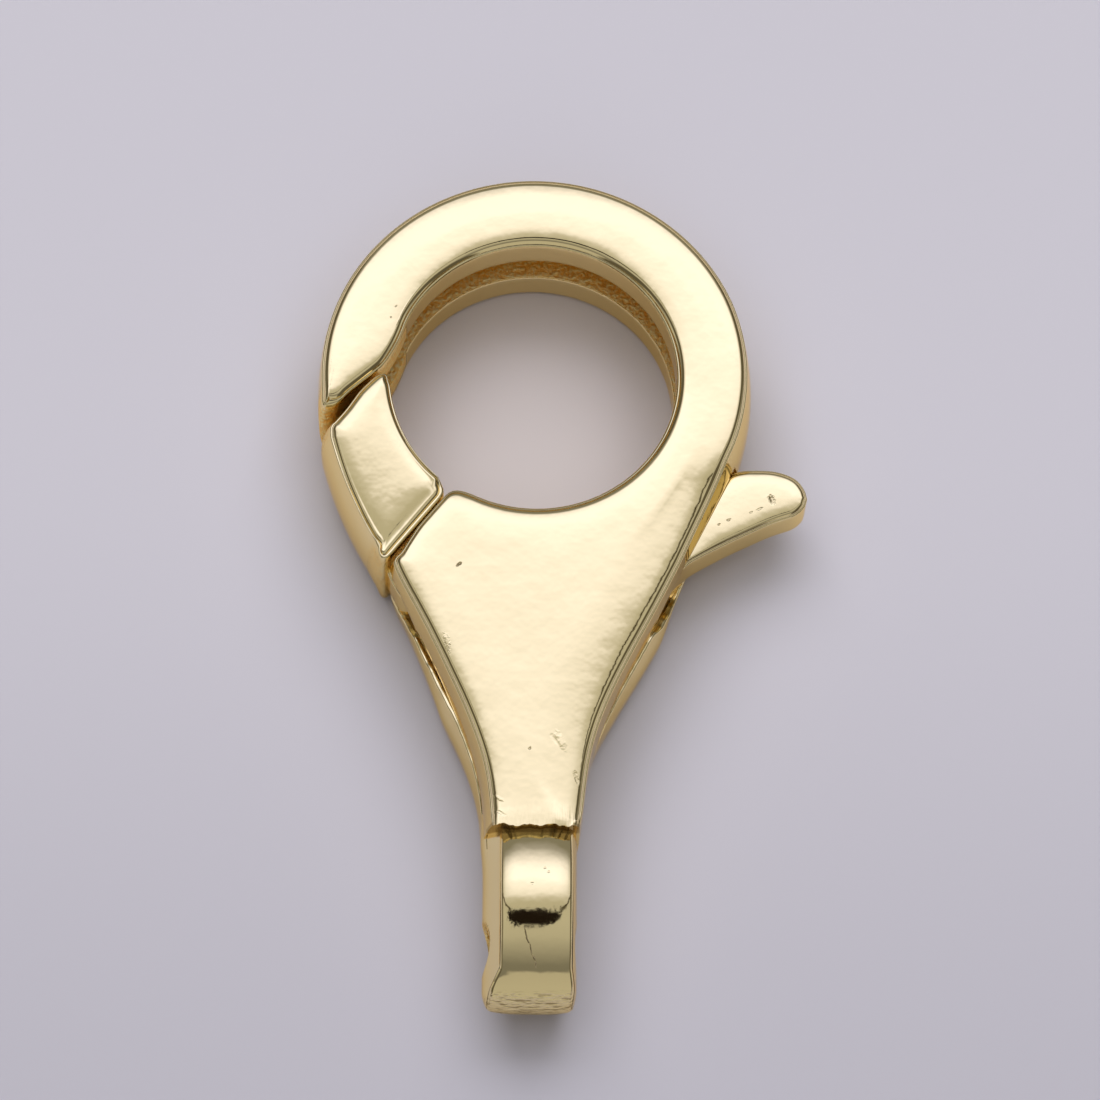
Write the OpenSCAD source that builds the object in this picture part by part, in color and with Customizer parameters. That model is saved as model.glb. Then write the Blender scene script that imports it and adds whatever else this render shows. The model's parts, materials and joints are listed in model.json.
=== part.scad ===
// Lobster clasp: a cast body with a slotted ring and an eye, and a lever whose gate closes the ring.
// It lies face up. The origin is the centre of the eye's bore, +Y runs along the clasp to its ring,
// +X points to the thumb tab's side and +Z out of the front face. Millimetres.

/* [Ring] */
// Distance from the eye's centre to the ring's centre
ring_y = 20.8; // [20:0.1:22]
// Outer diameter of the ring at mid thickness
ring_d = 15.6; // [15.3:0.1:16.3]
// Diameter of the hole in the ring
hole_d = 10.1; // [9.6:0.1:10.5]
// Height of the groove inside the ring
groove_h = 1.5; // [1:0.1:2]
// Depth of the groove, from the hole's wall
groove_depth = 1.3; // [0.8:0.1:1.6]

/* [Body] */
// Thickness from the back face to the front face
body_t = 4.6; // [4.2:0.1:5.2]
// How far the side wall swells between the rim and mid thickness
side_swell = 0.15; // [0.05:0.05:0.3]
// Rounding of the rims
rim_r = 0.2; // [0.1:0.05:0.4]
// Chamfer of the hole's two lips
lip_c = 0.25; // [0.1:0.05:0.4]
// Width of the neck where it ends in a step above the eye
neck_w = 3.8; // [3.25:0.05:4.4]
// Height of that step above the eye's centre
neck_y = 3.9; // [3.5:0.1:4.4]
// Radius of the hollow flanks that run into the neck
flank_r = 12.5; // [12:0.5:14.5]

/* [Eye] */
// Diameter of the cross bore for a jump ring
eye_bore_d = 1.9; // [1.4:0.1:2.1]
// Distance from the bore's centre to the end of the eye
eye_end = 2.2; // [2:0.1:2.8]
// Thickness of the eye's oval at its fullest
eye_t = 4.2; // [3.2:0.1:4.4]
// Width of the eye across the clasp
eye_w = 3.2; // [2.8:0.1:3.4]
// Rounding of the eye's side edges
eye_edge = 0.3; // [0.15:0.05:0.45]
// How far the eye's oval reaches up inside the neck
eye_root = 1.2; // [0.8:0.1:2]

/* [Slot] */
// Gap between the two plates that the lever works in
slot_h = 1.9; // [1.5:0.1:2.2]
// Floor of the slot on the clasp's middle line, above the eye's centre
slot_floor = 10; // [9:0.1:10.2]
// Slope of the slot's floor, up to the tab's side
slot_slope = 5; // [0:1:6]
// How far the slot's top lies below the ring's centre
slot_drop = 2.75; // [2.4:0.05:2.9]

/* [Lever] */
// Clearance on each side of the lever's arm
arm_play = 0.1; // [0.05:0.05:0.2]
// Pivot's distance to the tab's side of the clasp's middle line
pivot_x = 2.5; // [2.3:0.1:2.7]
// How far the pivot lies below the ring's centre
pivot_drop = 8.6; // [8.4:0.1:8.8]
// Distance from the pivot to the gate's tip
gate_reach = 11.75; // [11.6:0.05:11.9]
// Gap between the gate's tip and the hook
tip_gap = 0.35; // [0.25:0.05:0.5]
// Gap between the gate's lower end and the body's shoulder
shoulder_gap = 0.15; // [0.1:0.05:0.3]
// How far the gate is set back from the hole's wall
gate_setback = 0.15; // [0.1:0.05:0.3]
// Radius of the gate's bowed outer wall
bow_r = 15; // [13:1:18]
// Where the bow runs alongside the ring's circle, as an angle below the ring's middle
bow_start = 11; // [9:1:14]
// How far the bow stands proud of the ring's circle there
bow_proud = 0.2; // [0:0.05:0.3]
// How far the gate's outer wall swells between the rim and mid thickness
bow_swell = 0.3; // [0.15:0.05:0.35]
// Radius of the lever's boss around the pivot
boss_r = 1.5; // [1.3:0.1:1.6]
// Reach of the thumb tab from the clasp's middle line
tab_x = 9.7; // [9:0.05:10.5]
// How far the middle of the tab's tip lies below the ring's centre
tab_drop = 3.95; // [3.8:0.05:4.1]
// Width of the tab near its tip
tab_w = 1.4; // [1.2:0.1:1.6]

/* [Pin] */
// Diameter of the pivot pin
pin_d = 1.2; // [0.9:0.1:1.5]
// Radial clearance of the lever's bore on the pin
pin_fit = 0.05; // [0.02:0.01:0.08]
// Radial clearance of the pin's seats in the plates
seat_fit = 0.01; // [0.01:0.01:0.03]
// How deep the pin's ends lie under the polished faces
pin_cover = 0.25; // [0.15:0.05:0.4]

/* [Hidden] */
$fn = 96;
gold = "#e3c98a";
steel = "#b9bcc2";
ring_r = ring_d / 2;
hole_r = hole_d / 2;
half_t = body_t / 2;
ring_c = [0, ring_y];
pivot = [pivot_x, ring_y - pivot_drop];
slot_top = ring_y - slot_drop;
gate_hole_r = hole_r + gate_setback;
// Segments of a long arc, of a short arc and of a small corner
arc_n = 32;
short_n = 8;
corner_n = 5;
// Length by which a cutter passes the surface that it cuts, and a distance well outside the ring
past = 1;
outside = ring_r + 1.5 * past;

// Centre of the right flank's hollow arc, and the direction of the straight line between the two arcs
flank_c = [neck_w / 2 + flank_r, neck_y];
flank_v = flank_c - ring_c;
flank_a = atan2(flank_v.y, flank_v.x) + acos((ring_r + flank_r) / norm(flank_v));

function polar(c, r, a) = c + r * [cos(a), sin(a)];
function arc(c, r, from, to, n) = [for (i = [0:n]) polar(c, r, from + (to - from) * i / n)];
function unit(v) = v / norm(v);
function mirrored(points) = [for (i = [len(points) - 1:-1:0]) [-points[i].x, points[i].y]];
function turn(a) = a > 180 ? a - 360 : a < -180 ? a + 360 : a;

// A sharp corner of an outline, and one with a rounding
function at(p, r = 0) = [p.x, p.y, r];

// A polygon's corners, each [x, y, radius], with an arc in place of each corner that has a radius
function corner(a, b, c) =
    let (
        u = unit([a.x - b.x, a.y - b.y]),
        v = unit([c.x - b.x, c.y - b.y]),
        half = acos(u * v) / 2,
        m = [b.x, b.y] + unit(u + v) * b.z / sin(half),
        s = [b.x, b.y] + u * b.z / tan(half) - m,
        e = [b.x, b.y] + v * b.z / tan(half) - m,
        from = atan2(s.y, s.x)
    )
    arc(m, b.z, from, from + turn(atan2(e.y, e.x) - from), corner_n);
function rounded(p) = [
    for (i = [0:len(p) - 1])
        each p[i].z == 0 ? [[p[i].x, p[i].y]]
            : corner(p[(i + len(p) - 1) % len(p)], p[i], p[(i + 1) % len(p)])
];

// Teardrop outline of the clasp: the ring's arc, two straight flanks and two hollow arcs to the neck
function hollow(inset) = arc(flank_c, flank_r + inset, 180, flank_a + 180, short_n);
function teardrop(inset) = concat(
    arc(ring_c, ring_r - inset, flank_a, 180 - flank_a, arc_n),
    mirrored(hollow(inset)),
    hollow(inset)
);

// Heights of a rounded and swollen wall from the back face to the front face, each with its inset
wall_steps = [0, 1, 2];
function wall(swell) =
    let (
        back = [for (k = wall_steps) [rim_r * (1 - cos(45 * k)) - half_t, swell + rim_r * (1 - sin(45 * k))]]
    )
    concat(back, [[0, 0]], [for (k = [2:-1:0]) [-back[k].x, back[k].y]]);

// A closed skin over loops that all have the same number of points
module skin(loops) {
    n = len(loops[0]);
    last = (len(loops) - 1) * n;
    polyhedron(
        points = [for (l = loops) each l],
        faces = concat(
            [[for (i = [0:n - 1]) i]],
            [for (j = [0:len(loops) - 2], i = [0:n - 1])
                [j * n + i, (j + 1) * n + i, (j + 1) * n + (i + 1) % n, j * n + (i + 1) % n]],
            [[for (i = [n - 1:-1:0]) last + i]]
        )
    );
}

module slab(outline, height) {
    translate([0, 0, -height / 2]) linear_extrude(height) polygon(outline);
}

// The body's outer form, before anything is cut from it
module blank() {
    skin([for (l = wall(side_swell)) [for (p = teardrop(l.y)) [p.x, p.y, l.x]]]);
}

// The eye's oval, which reaches up into the neck
module eye_form() {
    eye_a = (neck_y + eye_root + eye_end) / 2;
    eye_y = eye_a - eye_end;
    skin([
        for (side = [-1, 1], k = side < 0 ? wall_steps : [2:-1:0])
            let (inset = eye_edge * (1 - sin(45 * k)), x = side * (eye_w / 2 - eye_edge * (1 - cos(45 * k))))
            [for (i = [0:arc_n * 2 - 1])
                let (a = i * 180 / arc_n)
                [x, eye_y + (eye_a - inset) * cos(a), (eye_t / 2 - inset) * sin(a)]]
    ]);
}

// A hole through the ring's thickness, with a chamfer at each lip
module ring_hole(r) {
    translate([0, ring_y, 0]) rotate_extrude() polygon([
        [0, -half_t - past], [r + lip_c + past, -half_t - past], [r, lip_c - half_t],
        [r, half_t - lip_c], [r + lip_c + past, half_t + past], [0, half_t + past]
    ]);
}

// The shoulder's line runs down from the hole to the left flank. A point on it is given by its
// distance from the line's upper end, and a second distance to the gate's side of the line.
shoulder_end = polar(ring_c, hole_r + 0.5, 235.5);
shoulder_v = unit([-4, -5]);
shoulder_n = [shoulder_v.y, -shoulder_v.x];
shoulder_up = -1.5;
function on_shoulder(along, off = 0) = shoulder_end + shoulder_v * along + shoulder_n * off;

// The opening that the gate fills. The hook's end is an arc about the pivot with a small beak outside.
module gate_opening() {
    hook_r = gate_reach + tip_gap;
    hook_from = 132.5;
    hook_to = 140.5;
    beak = [0.22, 0.85];
    slab(concat(
        [on_shoulder(outside), on_shoulder(shoulder_up)],
        [polar(ring_c, hole_r - past, 145), polar(ring_c, hole_r - 0.04, 156.5)],
        [polar(ring_c, hole_r + 0.13, 167)],
        arc(pivot, hook_r, hook_from, hook_to, short_n),
        [polar(pivot, hook_r + beak.x, hook_to + 2), polar(pivot, hook_r + beak.y, hook_to + 3)],
        [polar(ring_c, outside, 174)]
    ), body_t + 2 * past);
}

// The slot's floor slopes, and its top is level
module slot() {
    rise = ring_d * tan(slot_slope);
    slab([
        [-ring_d, slot_floor - rise], [ring_d, slot_floor + rise], [ring_d, slot_top], [-ring_d, slot_top]
    ], slot_h);
}

module body() {
    color(gold) difference() {
        union() {
            blank();
            eye_form();
        }
        ring_hole(hole_r);
        translate(ring_c) cylinder(h = groove_h, r = hole_r + groove_depth, center = true);
        gate_opening();
        slot();
        rotate([0, 90, 0]) cylinder(h = eye_w + 2 * past, d = eye_bore_d, center = true);
        translate(pivot)
            cylinder(h = body_t - 2 * (pin_cover - seat_fit), d = pin_d + 2 * seat_fit, center = true);
    }
}

// The gate's outer wall bows out past the ring's circle and stands proud of the flank below
bow_a = 180 + bow_start;
bow_c = polar(ring_c, ring_r + bow_proud - bow_r, bow_a);
module gate_blank() {
    skin([
        for (l = wall(bow_swell)) [
            for (p = concat(arc(bow_c, bow_r - l.y, bow_a - 10, bow_a + 26, short_n), [ring_c]))
                [p.x, p.y, l.x]
        ]
    ]);
}

// The gate fills the ring's whole thickness. Its tip is an arc about the pivot.
module gate() {
    heel_out = ring_r + 0.8;
    heel_run = 2.2;
    difference() {
        intersection() {
            gate_blank();
            slab(concat(
                [polar(ring_c, heel_out, 218), polar(ring_c, heel_out, 233)],
                [on_shoulder(heel_run, shoulder_gap), on_shoulder(shoulder_up, shoulder_gap)],
                [polar(ring_c, hole_r - past, 155)],
                arc(pivot, gate_reach, 128, 152, short_n),
                [polar(ring_c, outside, 204)]
            ), body_t + 2 * past);
        }
        ring_hole(gate_hole_r);
    }
}

// The left flank's straight line at height y, for an arm that lies a little inside the wall
function left_flank(y, inset) =
    let (p = polar(ring_c, ring_r - inset, 180 - flank_a))
    [p.x + (p.y - y) * tan(-flank_a), y];

// The arm runs below the hole from the gate's heel to the boss, and on to the thumb tab
module arm() {
    inset = 0.1;
    heel_y = ring_y - 8.2;
    tip = [tab_x, ring_y - tab_drop];
    slab(rounded(concat(
        [for (p = arc(ring_c, gate_hole_r + inset, 318, 216, short_n * 2)) at(p)],
        [
            at(left_flank(ring_y - 4.5, 3 * inset)),
            at(left_flank(ring_y - 5.2, inset)),
            at(left_flank(heel_y, inset), 0.2)
        ],
        [for (p = arc(pivot, boss_r, 240, 350, short_n)) at(p)],
        [
            at(pivot + [2.3, 0.7], 0.3),
            at(pivot + [2.95, 2.05]),
            at(tip + [-1.15, -tab_w / 2 - 0.05]),
            at(tip + [-0.25, -tab_w / 2 + 0.25], 0.25),
            at(tip + [0, 0.1], 0.3),
            at(tip + [-0.7, tab_w / 2], 0.5),
            at(tip + [-2.3, tab_w / 2 + 0.15])
        ]
    )), slot_h - 2 * arm_play);
}

module lever() {
    color(gold) difference() {
        union() {
            gate();
            arm();
        }
        translate(pivot) cylinder(h = body_t, r = pin_d / 2 + pin_fit, center = true);
    }
}

// The pin's ends are worked flush and polished over, so it ends just under both faces
module pivot_pin() {
    color(steel) translate(pivot) cylinder(h = body_t - 2 * pin_cover, d = pin_d, center = true);
}

body();
lever();
pivot_pin();
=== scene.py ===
import json
from types import SimpleNamespace
import bpy
import numpy as np
from bpy.props import FloatProperty, FloatVectorProperty, PointerProperty
from bpy.types import Operator, Panel, PropertyGroup
from mathutils import Matrix, Vector


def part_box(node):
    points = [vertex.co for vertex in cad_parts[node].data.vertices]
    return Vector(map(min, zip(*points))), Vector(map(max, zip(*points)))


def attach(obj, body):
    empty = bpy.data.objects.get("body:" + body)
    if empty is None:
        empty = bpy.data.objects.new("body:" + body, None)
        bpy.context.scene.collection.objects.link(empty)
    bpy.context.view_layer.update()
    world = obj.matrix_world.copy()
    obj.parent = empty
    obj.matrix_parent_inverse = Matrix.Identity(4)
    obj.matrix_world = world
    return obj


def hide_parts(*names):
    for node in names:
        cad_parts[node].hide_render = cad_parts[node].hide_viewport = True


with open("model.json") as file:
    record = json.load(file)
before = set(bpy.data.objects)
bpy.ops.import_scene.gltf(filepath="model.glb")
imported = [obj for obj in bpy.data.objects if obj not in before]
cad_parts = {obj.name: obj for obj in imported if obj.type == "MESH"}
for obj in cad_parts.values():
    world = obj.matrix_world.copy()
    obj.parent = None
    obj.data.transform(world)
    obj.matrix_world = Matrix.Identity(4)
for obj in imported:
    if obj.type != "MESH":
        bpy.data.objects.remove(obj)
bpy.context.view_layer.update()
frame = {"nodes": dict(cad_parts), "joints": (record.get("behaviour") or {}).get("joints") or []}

bl_info = {
    "name": "Lobster clasp",
    "version": (1, 0, 0),
    "blender": (4, 5, 0),
    "location": "3D View > Sidebar > Clasp",
    "description": "Polished surfaces and finishes of a gold coloured lobster clasp",
    "category": "Object",
}

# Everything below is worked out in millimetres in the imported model's frame: the origin is the centre of
# the eye's bore, +Y runs to the ring, +X to the thumb tab and +Z out of the front face.
MM = 0.001
BODY_LOW, BODY_HIGH = (np.array(v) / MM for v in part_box("body"))
LEVER_HIGH = np.array(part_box("lever")[1]) / MM
HALF = BODY_HIGH[2]
RING_R = BODY_HIGH[0]
RING = np.array([0.0, BODY_HIGH[1] - RING_R])
PIVOT = np.array([v / MM for v in frame["joints"][0]["pos_m"][:2]])


# ---- outlines

def unit(v):
    """Vectors divided by their lengths."""
    return v / np.maximum(np.linalg.norm(v, axis=-1, keepdims=True), 1e-12)


def arc(centre, radius, start, end):
    """Points on a circle from one angle to another, in degrees, 0.06 mm apart."""
    n = max(3, int(abs(np.radians(end - start)) * radius / 0.06))
    a = np.radians(np.linspace(start, end, n + 1))
    return np.stack([centre[0] + radius * np.cos(a), centre[1] + radius * np.sin(a)], 1)


def rounded(points):
    """A polyline through [x, y, reach] points. Each corner with a reach is replaced, from that length
    before it to that length after it, by the parabola that is tangent to both sides there."""
    p = np.array(points, float)
    s = np.r_[0, np.cumsum(np.linalg.norm(np.diff(p[:, :2], axis=0), axis=1))]
    at = lambda v: np.stack([np.interp(v, s, p[:, k]) for k in (0, 1)], -1)
    keep, extra = np.ones(len(p), bool), []
    for i in np.flatnonzero(p[:, 2] > 0):
        reach = p[i, 2]
        t = np.linspace(0, 1, 13)[:, None]
        curve = (1 - t) ** 2 * at(s[i] - reach) + 2 * t * (1 - t) * p[i, :2] + t ** 2 * at(s[i] + reach)
        keep &= np.abs(s - s[i]) > reach
        extra.append((s[i] + reach * (2 * t[:, 0] - 1), curve))
    where = np.concatenate([s[keep]] + [e[0] for e in extra])
    line = np.concatenate([p[keep, :2]] + [e[1] for e in extra])
    return line[np.argsort(where, kind="stable")]


def dense(line):
    """A polyline with points an even 0.03 mm apart."""
    line = np.concatenate([line[:1], line[1:][np.linalg.norm(np.diff(line, axis=0), axis=1) > 1e-6]])
    s = np.r_[0, np.cumsum(np.linalg.norm(np.diff(line, axis=0), axis=1))]
    t = np.linspace(0, s[-1], max(8, int(s[-1] / 0.03)))
    return np.stack([np.interp(t, s, line[:, k]) for k in (0, 1)], 1)


def keyed(line, keys, counts):
    """A polyline resampled so that the points nearest to the keys are a set count of steps apart. Between
    keys the points share out the length and the turning evenly, so corners get more of them. A blur of a
    tenth of a millimetre along the line takes out small kinks."""
    blur_points, long_step, sharp_turn = 3.2, 0.3, 0.14
    line = dense(line)
    n = min(8, len(line) // 4)
    core = np.exp(-0.5 * (np.arange(-n, n + 1) / blur_points) ** 2)
    blur = np.stack([np.convolve(line[:, k], core / core.sum(), "valid") for k in (0, 1)], 1)
    line = np.concatenate([line[:1], blur, line[-1:]])
    d = np.diff(line, axis=0)
    turn = np.arctan2(d[:-1, 0] * d[1:, 1] - d[:-1, 1] * d[1:, 0], np.sum(d[:-1] * d[1:], 1))
    load = np.linalg.norm(d, axis=1) / long_step
    load[1:] += np.abs(turn) / 2 / sharp_turn
    load[:-1] += np.abs(turn) / 2 / sharp_turn
    m = np.r_[0, np.cumsum(load)]
    at = [0.0] + [m[np.argmin(np.linalg.norm(line - np.array(k), axis=1))] for k in keys] + [m[-1]]
    t = np.concatenate([np.linspace(at[i], at[i + 1], n + 1)[:-1] for i, n in enumerate(counts)] + [[m[-1]]])
    return np.stack([np.interp(t, m, line[:, k]) for k in (0, 1)], 1)


def wave(x, y, seed, size):
    """An uneven height, mostly from -1 to 1: a sum of sines whose directions and phases come from a seed."""
    rng = np.random.default_rng(seed)
    total = np.zeros(np.broadcast(x, y).shape)
    for k in range(7):
        a, f, p = rng.uniform(0, 2 * np.pi), rng.uniform(0.6, 1.9) / size, rng.uniform(0, 2 * np.pi)
        total += np.sin(2 * np.pi * f * (x * np.cos(a) + y * np.sin(a)) + p)
    return total / 4


# ---- slabs

class Slab:
    """A closed casting between two faces. Its outline runs along four sides: out, from the start to the
    end; end, across; inn, back to the start; and start, across. Rings at growing depth carry the
    outline from the top face over the rim, down the wall and in again to the bottom face. Each face is
    a grid that blends the four sides: a straight line from out to inn at each step, corrected near the
    start and the end to follow them."""

    def __init__(self, out, end, inn, start):
        self.nu, self.nv = len(out) - 1, len(start) - 1
        self.loop = loop = np.concatenate([out[:-1], end[:-1], inn[::-1][:-1], start[::-1][:-1]])
        self.side = np.repeat([0, 1, 2, 3], [self.nu, self.nv, self.nu, self.nv])
        ahead, back = np.roll(loop, -1, 0) - loop, loop - np.roll(loop, 1, 0)
        tangent = unit(unit(ahead) + unit(back))
        area = 0.5 * np.sum(loop[:, 0] * np.roll(loop[:, 1], -1) - loop[:, 1] * np.roll(loop[:, 0], -1))
        self.ccw = area > 0
        self.step = np.cumsum(np.linalg.norm(back, axis=1))
        normal = np.stack([tangent[:, 1], -tangent[:, 0]], 1) * (1 if self.ccw else -1)
        self.normal = unit(self.blur(normal, 0.22))

    def blur(self, values, width):
        """Values round the outline, blurred with a Gaussian of the given width in millimetres."""
        d = np.abs(self.step[:, None] - self.step[None, :])
        d = np.minimum(d, self.step[-1] - d)
        w = np.exp(-0.5 * (d / width) ** 2)
        return (w @ values / w.sum(1)[:, None]) if values.ndim == 2 else (w @ values) / w.sum(1)

    def relief(self, points, inset, falls):
        """How far the face falls below its flat middle: for each fall, its height times the square of one
        less the distance to the face's edge over its width, and nothing further in. Height and width are
        those of the nearby outline, weighted by nearness."""
        a = self.loop - self.normal * inset[:, None]
        b = np.roll(a, -1, 0) - a
        q = points[:, None, :] - a[None]
        t = np.clip((q * b).sum(2) / np.maximum((b * b).sum(1), 1e-12), 0, 1)
        d = np.linalg.norm(q - t[..., None] * b[None], axis=2)
        near = d.min(1)
        w = np.exp(-(d - near[:, None]) / 0.12)
        w /= w.sum(1, keepdims=True)
        return sum(w @ height * np.clip(1 - near / (w @ width), 0, 1) ** 2 for height, width in falls)

    def grid(self, inset):
        """The face's grid, whose edge is the outline moved in by inset."""
        edge = self.loop - self.normal * inset[:, None]
        a, b, c = self.nu, self.nu + self.nv, 2 * self.nu + self.nv
        out, end = edge[:a + 1], edge[a:b + 1]
        inn, start = edge[b:c + 1][::-1], np.concatenate([edge[c:], edge[:1]])[::-1]
        u = np.linspace(0, 1, self.nu + 1)[:, None, None]
        v = np.linspace(0, 1, self.nv + 1)[None, :, None]
        v = v - 0.75 * np.sin(2 * np.pi * v) / (2 * np.pi)
        line = (1 - v) * out[:, None] + v * inn[:, None]
        reach = 0.12
        w0, w1 = np.clip(1 - u / reach, 0, 1) ** 2, np.clip(1 - (1 - u) / reach, 0, 1) ** 2
        p = line + w0 * (start[None] - line[:1]) + w1 * (end[None] - line[-1:])
        p[:, 0], p[:, -1], p[0], p[-1] = out, inn, start, end
        return p.reshape(-1, 2)

    def rim_index(self):
        """Grid indices of the outline's points, in the outline's order."""
        k = np.arange((self.nu + 1) * (self.nv + 1)).reshape(self.nu + 1, self.nv + 1)
        return np.concatenate([k[:-1, 0], k[-1, :-1], k[::-1, -1][:-1], k[0, ::-1][:-1]])

    def mesh(self, rings, top, bottom):
        """Points and quads. rings is a list of (inset, z) arrays from the top face's edge to the bottom
        face's edge; top and bottom give z over the faces from x and y."""
        n, m = len(self.loop), (self.nu + 1) * (self.nv + 1)
        faces = []
        g0, g1 = self.grid(rings[0][0]), self.grid(rings[-1][0])
        points = [np.column_stack([g0, top(g0[:, 0], g0[:, 1])])]
        k = np.arange(m).reshape(self.nu + 1, self.nv + 1)
        quads = np.stack([k[:-1, :-1], k[1:, :-1], k[1:, 1:], k[:-1, 1:]], -1).reshape(-1, 4)
        faces.append(quads if self.ccw else quads[:, ::-1])
        last, total = self.rim_index(), m
        for inset, z in rings[1:-1]:
            p = self.loop - self.normal * np.broadcast_to(inset, n)[:, None]
            points.append(np.column_stack([p, np.broadcast_to(z, n)]))
            ring = total + np.arange(n)
            faces.append(self.strip(last, ring))
            last, total = ring, total + n
        points.append(np.column_stack([g1, bottom(g1[:, 0], g1[:, 1])]))
        faces.append(self.strip(last, total + self.rim_index()))
        quads = total + quads
        faces.append(quads[:, ::-1] if self.ccw else quads)
        return np.concatenate(points), np.concatenate(faces)

    def strip(self, a, b):
        """Quads between two rings."""
        q = np.stack([a, b, np.roll(b, -1), np.roll(a, -1)], 1)
        return q if self.ccw else q[:, ::-1]


def mirrored(points, faces, raw_and_shade):
    """The same piece on the other side of the middle plane."""
    return points * np.array([1, 1, -1]), faces[:, ::-1], raw_and_shade


def joined(parts):
    """Several closed pieces as one list of points, quads and unpolished shares, which over 1 carry painted
    slot shade.
    """
    shift = np.cumsum([0] + [len(p[0]) for p in parts[:-1]])
    faces = np.concatenate([p[1] + first for p, first in zip(parts, shift)])
    return np.concatenate([p[0] for p in parts]), faces, np.concatenate([p[2] for p in parts])


def link(name, points, faces, raw_and_shade, material, body, nodes):
    """Puts points and faces into a mesh object that rides on a body and stands for CAD nodes. The point
    attribute for the unpolished share says how much of the cast skin is left unpolished, and over 1 how much
    painted shade darkens the slot."""
    mesh = bpy.data.meshes.new(name)
    mesh.vertices.add(len(points))
    mesh.vertices.foreach_set("co", (points * MM).astype(np.float32).ravel())
    mesh.loops.add(faces.size)
    mesh.loops.foreach_set("vertex_index", faces.astype(np.int32).ravel())
    mesh.polygons.add(len(faces))
    mesh.polygons.foreach_set("loop_start", (np.arange(len(faces)) * faces.shape[1]).astype(np.int32))
    mesh.update(calc_edges=True)
    mesh.attributes.new("raw_and_shade", "FLOAT", "POINT").data.foreach_set("value", raw_and_shade.astype(np.float32))
    mesh.validate()
    mesh.polygons.foreach_set("use_smooth", np.ones(len(mesh.polygons), bool))
    mesh.set_sharp_from_angle(angle=np.radians(38))
    mesh.materials.append(material)
    piece = bpy.data.objects.new(name, mesh)
    bpy.context.scene.collection.objects.link(piece)
    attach(piece, body)
    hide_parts(*nodes)
    return piece


def rim(slab, lip, ledge, falls, lean, high):
    """Insets and heights from the face's edge over the rim to the wall, and the face's own height. The face
    ends below its middle by the sum of its falls and at the sum of their slopes. From there an arc of
    radius lip steepens to 62 degrees, a small hollow flattens it again to a ledge, and an arc of radius
    ledge turns from the ledge to the vertical. lean gives the wall's inset at a height."""
    slope = np.arctan(sum(2 * height / width for height, width in falls))
    steep, flat, hollow = np.radians(62), np.radians(1), 0.03
    z0 = high - sum(height for height, _ in falls)
    turn = [slope + (steep - slope) * t for t in np.linspace(0, 1, 8)]
    out = [lip * (np.sin(a) - np.sin(slope)) for a in turn]
    down = [lip * (np.cos(slope) - np.cos(a)) for a in turn]
    far, low = out[-1], down[-1]
    for a in np.linspace(steep, flat, 5)[1:]:
        out.append(far + hollow * (np.sin(steep) - np.sin(a)))
        down.append(low + hollow * (np.cos(a) - np.cos(steep)))
    far, low = out[-1], down[-1]
    for a in np.linspace(flat, np.pi / 2, 6)[1:]:
        out.append(far + ledge * (np.sin(a) - np.sin(flat)))
        down.append(low + ledge * (np.cos(flat) - np.cos(a)))
    base = lean(z0 - down[-1])
    rings = [(base + out[-1] - o, z0 - d) for o, d in zip(out, down)]
    inset = rings[0][0]
    top = lambda x, y: high - slab.relief(np.stack([x, y], 1), inset, falls)
    return rings, top


# ---- the casting

def at(radius, angle):
    """A point at a radius and an angle in degrees round the ring's centre."""
    return RING + radius * np.array([np.cos(np.radians(angle)), np.sin(np.radians(angle))])


SHOULDER = unit(np.array([-4.0, -5.0]))  # the way from the hole down the shoulder
SHOULDER_AT = 235.5  # angle round the ring where the shoulder leaves the hole
NECK_Y = 3.9  # the step between the plates and the eye
MEET = -22.0  # angle round the ring where the right flank leaves it
SLOT_TOP = 18.05  # the lever's slot lies below this, the groove in the hole's wall above
NECK_W = 3.8  # the neck's width that the flanks' points are for
WALL = 2.1  # height over which the walls swell
# Points of the flanks at mid thickness; how far the front face lies inside them; and how far the back
# plate stands out past the front one, by height above the eye's centre.
RIGHT = [[7.55, 19.0], [7.23, 17.88], [6.25, 15.93], [5.25, 13.83], [4.5, 12.32], [3.78, 10.99], [3.07, 9.6],
         [2.6, 8.56], [2.18, 7.07], [1.78, 5.05], [1.64, 3.9]]
LEFT = [[-5.14, 13.73], [-4.5, 12.35], [-3.66, 10.71], [-3.1, 9.64], [-2.64, 8.4], [-2.27, 7.41], [-2.1, 7.0],
        [-1.76, 5.0], [-1.72, 3.9]]
LEFT_IN = [4, 5, 7, 8.4, 9.6, 10.7, 12.2, 13.4], [0.28, 0.22, 0.15, 0.11, 0.07, 0.07, 0.10, 0.10]
RIGHT_IN = [4, 12, 13.8, 15.9, 17.5, 20, 24], [0.03, 0.03, 0.06, 0.18, 0.28, 0.25, 0.15]
BACK_IN = [4, 16], [0.12, 0.12]
LEFT_OUT = [4, 5, 7.4, 9.1, 10.5, 12.5], [0.08, 0.13, 0.28, 0.40, 0.27, 0.04]
RIGHT_OUT = ([3.9, 5.05, 6.2, 7.6, 9.1, 10.6, 12.1, 13.4, 14.6],
             [0.0, -0.08, -0.08, 0.0, 0.17, 0.28, 0.33, 0.1, 0.0])


def flank_line(points, top):
    """A flank as a smooth curve: x is a polynomial of y fitted to the points, from the neck up to a
    height."""
    points = np.array(points)
    y = np.linspace(NECK_Y, top, 300)
    return np.stack([np.polynomial.Polynomial.fit(points[:, 1], points[:, 0], 6)(y), y], 1)


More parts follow.
